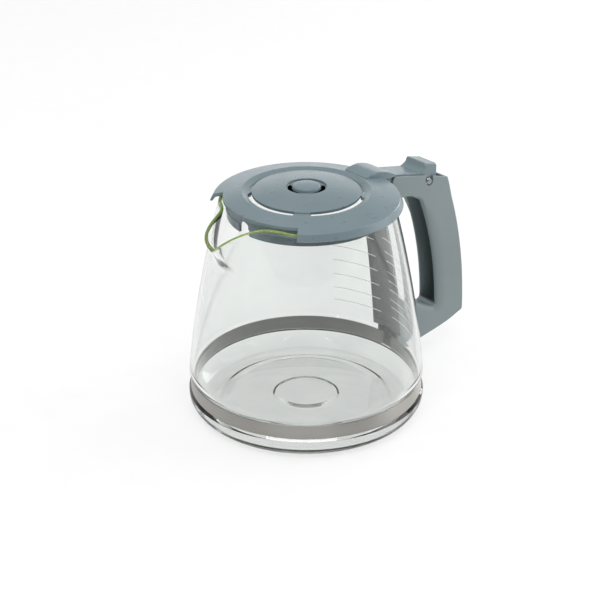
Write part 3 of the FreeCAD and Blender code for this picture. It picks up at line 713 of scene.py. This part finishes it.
def make_lid():
    """Domed lid: disc, recess and four bridges, conical ring, skirt cut away at the spout, hinge hump."""
    dome = [(11.45, 138.62), (16, 138.25), (21, 137.65), (26, 136.85), (31.5, 135.72)]
    top = dome + [
        (31.9, 134.8), (33.2, 134.3), (CREST_RADIUS, CREST_HEIGHT), (53.3, 132.3), (55.4, 128.0),
        (53.9, 128.0), (52.2, ring_top(52.2) - LID_THICK - 0.1), (37.4, CREST_HEIGHT - LID_THICK),
        (33.4, 134.3 - LID_THICK), (31.4, 132.9),
        (31.05, 134.4), (26, 135.0), (16, 136.1), (11.45, 136.5),
    ]
    profile = rounded(top, 0.45, 4, {7: 1.3, 8: 0.9, 6: 0.5, 4: 0.35, 1: 0, 2: 0, 3: 0})
    lid = lathe("lid_moulding", profile)
    cut(lid, prism("cutaway", sector(47.6, 66.0, 180.0, 44.0), (110.0, 150.0), "Z"))
    for quarter in range(4):
        cut(lid, prism("slot", sector(31.1, 33.45, 90.0 * quarter, 36.6), (120.0, 150.0), "Z"))

    line = [(38.6, 133.6), (37.6, 136.0), (40.0, 136.9), (44.0, 137.65), (47.0, 137.65), (50.0, 137.15)]
    line += arc((50.0, 137.15), (56.2, 135.1), (61.2, 132.3), 10)
    line += [(61.2, 131.4), (53.0, 131.4), (50.0, 131.9)]
    bm = bmesh.new()
    ends = [[bm.verts.new((x * MM, w * MM, z * MM)) for x, z in line] for w in (-9.6, 9.6)]
    bm.faces.new(ends[0])
    bm.faces.new(ends[1])
    bridge(bm, ends[0], ends[1])

    def on_top(item):
        """Long edges of the two side faces, above the ring."""
        one, two = (v.co / MM for v in item.verts)
        flat = abs(one.y - two.y) < 1e-4 and abs(one.x - two.x) > 0.3
        return flat and min(one.z, two.z) > 132.0 and min(one.x, two.x) > 37.5 and max(one.x, two.x) >= 38.7

    upper = [item for item in bm.edges if on_top(item)]
    bmesh.ops.bevel(bm, geom=upper, offset=0.8 * MM, segments=4, profile=0.5, affect="EDGES")
    hump = to_object("hump", bm)
    solid_work(lid, hump, "UNION")
    soften(lid, 0.3, 3, 34)
    return dress(lid, lid_plastic, "lid", "plastic", "lid_plate")


def make_lever():
    """Arm between the cheeks, with hinge knuckle and a hollowed thumb tab."""
    line = [(55.9, 128.0), (55.9, 131.25), (61.25, 131.25), (61.25, 131.9), (80.4, 128.0)]
    line += arc((80.4, 128.0), (84.0, 129.3), (86.0, 132.9), 10)
    line += [(95.6, 130.4), (96.2, 129.8), (96.2, 122.6), (93.6, 118.2)]
    line += arc((93.6, 118.2), (89.6, 115.9), (85.6, 118.2), 10)
    line += [(83.4, 122.4), (64.0, 125.6)]
    lever = prism("lever_moulding", line, LEVER_HALF)
    cut(lever, prism("bore", circle_points(HINGE_X, HINGE_Z, 2.5), 9.0))

    def on_tab(place):
        return abs(abs(place.y) - LEVER_HALF) < 0.01 and place.x > 83.0 and place.z > 128.6

    soften(lever, 0.4, 4, 34, on_tab, 1.1)
    return dress(lever, lid_plastic, "lid", "plastic", "lid_lever")


def make_pin():
    """Satin pin with chamfered ends, turned about Z and then laid along Y."""
    half = 9.4
    profile = rounded([
        (0, -half), (1.6, -half), (2.5, 1.0 - half), (2.5, half - 1.0), (1.6, half), (0, half),
    ], 0.3, 3)
    pin = lathe("pin_turned", profile, 64)
    for vertex in pin.data.vertices:
        x, y, z = vertex.co
        vertex.co = (x + HINGE_X * MM, z, HINGE_Z * MM - y)
    shade(pin, 40)
    return dress(pin, pin_steel, "lid", "pin_steel", "hinge_pin")


def make_collar():
    """Ring that hangs in the mouth of the jug, with a bead outside and an arched notch at the spout."""
    outer = 45.5
    inner = 43.9
    low = 121.7
    under = 2.14
    points = [(inner, low), (outer, low), (outer, 125.2)]
    points += arc((outer, 125.2), (outer + 0.6, 126.3), (outer, 127.4), 6)
    points += [
        (outer, ring_top(outer) - under), (39.5, ring_top(39.5) - under),
        (39.5, ring_top(39.5) - under - 1.3),
        (inner, ring_top(inner) - under - 1.4),
    ]
    collar = lathe("collar_moulding", rounded(points, 0.3, 3))
    arch = [(-4.3, 118.0), (4.3, 118.0), (4.3, 124.9)] + arc((4.3, 124.9), (0.0, 129.2), (-4.3, 124.9), 16)
    cut(collar, prism("notch", arch, (-60.0, -20.0), "X"))
    soften(collar, 0.25, 2, 40)
    return dress(collar, lid_plastic, "lid", "plastic", "lid_collar")


def make_button():
    """Centre boss in a shallow sunk ring with two pairs of through holes."""
    profile = [(0, 135.46), (12.5, 135.46), (12.5, 136.45), (11.4, 136.5), (11.4, 137.7), (10.9, 137.3)]
    profile += [(8.3, 137.3), (7.9, 138.9), (6.9, 139.38), (5.0, 139.6), (2.5, 139.76), (0, 139.8)]
    rounded_profile = rounded(profile, 0.3, 4, {7: 0.5, 8: 0, 9: 0, 10: 0})
    button = lathe("button_moulding", rounded_profile)
    for direction in (-40.5, 139.5):
        turns = [direction + 57.6 * (i / 20 - 1) for i in range(41)]
        line = [on_circle(10.7 if abs(turn - direction) < 21.0 else 9.25, turn) for turn in turns]
        line += [on_circle(8.35, turn) for turn in reversed(turns)]
        cut(button, prism("hole", line, (130.0, 150.0), "Z"))
    soften(button, 0.15, 2, 40)
    return dress(button, lid_plastic, "lid", "plastic", "drip_stop_button")


make_glass()
make_graduations("scale_left", [87.1, 75.0, 64.75, 54.3, 44.3, 35.2], 4.5, 34.0)
make_graduations("scale_right", [91.9, 82.3, 75.9, 68.0, 61.6, 55.4, 48.2, 42.8, 35.6], -4.5, -34.0)
make_band()
make_strip()
make_handle()
make_lid()
make_lever()
make_pin()
make_collar()
make_button()

for node_name in ("clamp_screw", "clamp_nut", "strip_screw"):
    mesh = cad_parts[node_name].data
    mesh.materials.clear()
    mesh.materials.append(zinc)


# ---------------------------------------------------------------- floor, light, camera


def make_floor():
    bm = bmesh.new()
    bmesh.ops.create_circle(bm, cap_ends=True, segments=64, radius=7.0)
    floor = to_object("floor", bm)
    look = Look("floor_paper")
    grain = look.noise(60.0)
    look.join(look.ramp(grain, [(0.3, (0.29, 0.29, 0.29)), (0.7, (0.31, 0.31, 0.31))]), "Base Color")
    look.set(Roughness=0.9, Specular_IOR_Level=0.05, Emission_Color=(1, 1, 1, 1), Emission_Strength=0.70)
    floor.data.materials.append(look.material)
    floor.location.z = -0.0001


def make_light(name, place, aim, size, power, colour=(1, 1, 1)):
    data = bpy.data.lights.new(name, "AREA")
    data.shape = "RECTANGLE"
    data.size, data.size_y = size
    data.energy = power
    data.color = colour
    obj = bpy.data.objects.new(name, data)
    bpy.context.scene.collection.objects.link(obj)
    obj.location = place
    obj.rotation_euler = (Vector(aim) - Vector(place)).to_track_quat("-Z", "Y").to_euler()


def make_world():
    """Soft surroundings: bright low down behind the jug, dim in front of it and overhead."""
    world = bpy.data.worlds.new("studio")
    world.use_nodes = True
    bpy.context.scene.world = world
    nodes = world.node_tree.nodes
    links = world.node_tree.links
    where = nodes.new("ShaderNodeTexCoord")
    split = nodes.new("ShaderNodeSeparateXYZ")
    links.new(where.outputs["Generated"], split.inputs[0])

    def greys(stops):
        ramp = nodes.new("ShaderNodeValToRGB")
        links.new(split.outputs["Z"], ramp.inputs["Fac"])
        while len(ramp.color_ramp.elements) < len(stops):
            ramp.color_ramp.elements.new(0.5)
        for element, (place, grey) in zip(ramp.color_ramp.elements, stops):
            element.position = place
            element.color = (grey, grey, grey, 1)
        return ramp.outputs["Color"]

    behind = nodes.new("ShaderNodeVectorMath")
    behind.operation = "DOT_PRODUCT"
    behind.inputs[1].default_value = away
    links.new(where.outputs["Generated"], behind.inputs[0])
    share = nodes.new("ShaderNodeMapRange")
    share.interpolation_type = "SMOOTHSTEP"
    share.inputs["From Min"].default_value = 0.1
    share.inputs["From Max"].default_value = 0.75
    links.new(behind.outputs["Value"], share.inputs["Value"])
    blend = nodes.new("ShaderNodeMix")
    blend.data_type = "RGBA"
    links.new(share.outputs["Result"], blend.inputs[0])
    links.new(greys([(0.0, 0.45), (0.12, 0.30), (0.35, 0.22), (0.80, 0.22)]), blend.inputs[6])
    links.new(greys([(0.0, 1.35), (0.28, 1.20), (0.46, 0.45), (0.80, 0.26)]), blend.inputs[7])
    links.new(blend.outputs[2], nodes["Background"].inputs["Color"])
    nodes["Background"].inputs["Strength"].default_value = 1.0


# the chosen view: across is to the right of the camera, away is its line of sight on the floor
away = Vector((0.6477, 0.7619, 0.0))
across = Vector((0.7619, -0.6477, 0.0))
up = Vector((0, 0, 1))
make_floor()
make_world()


def spot(right, back, height):
    return tuple(across * right + away * back + up * height)


make_light("overhead", spot(-0.2, 0.3, 2.2), spot(0, 0.2, 0), (3.2, 3.2), 20.0)
make_light("front_strip", spot(-0.1, -0.85, 1.65), spot(0, 0, 0.1), (1.6, 0.3), 13.0)
make_light("left_bank", spot(-1.3, 0.1, 0.8), spot(0, 0, 0.08), (1.0, 1.3), 2.5)
make_light("right_bank", spot(1.25, 0.1, 0.8), spot(0, 0, 0.08), (0.9, 1.3), 8.0)
make_light("edge_bank", spot(0.9, 1.1, 0.5), spot(0.05, 0, 0.08), (0.3, 0.8), 4.0)


def make_camera():
    data = bpy.data.cameras.new("camera")
    data.sensor_width = 36.0
    data.lens = 94.56
    data.clip_start, data.clip_end = 0.01, 50.0
    camera = bpy.data.objects.new("camera", data)
    bpy.context.scene.collection.objects.link(camera)
    camera.location = (-0.5392, -0.6285, 0.4776)
    camera.rotation_euler = Vector((0.58017, 0.68237, -0.4447)).to_track_quat("-Z", "Y").to_euler()
    bpy.context.scene.camera = camera


make_camera()
bpy.context.scene.view_settings.view_transform = "Standard"
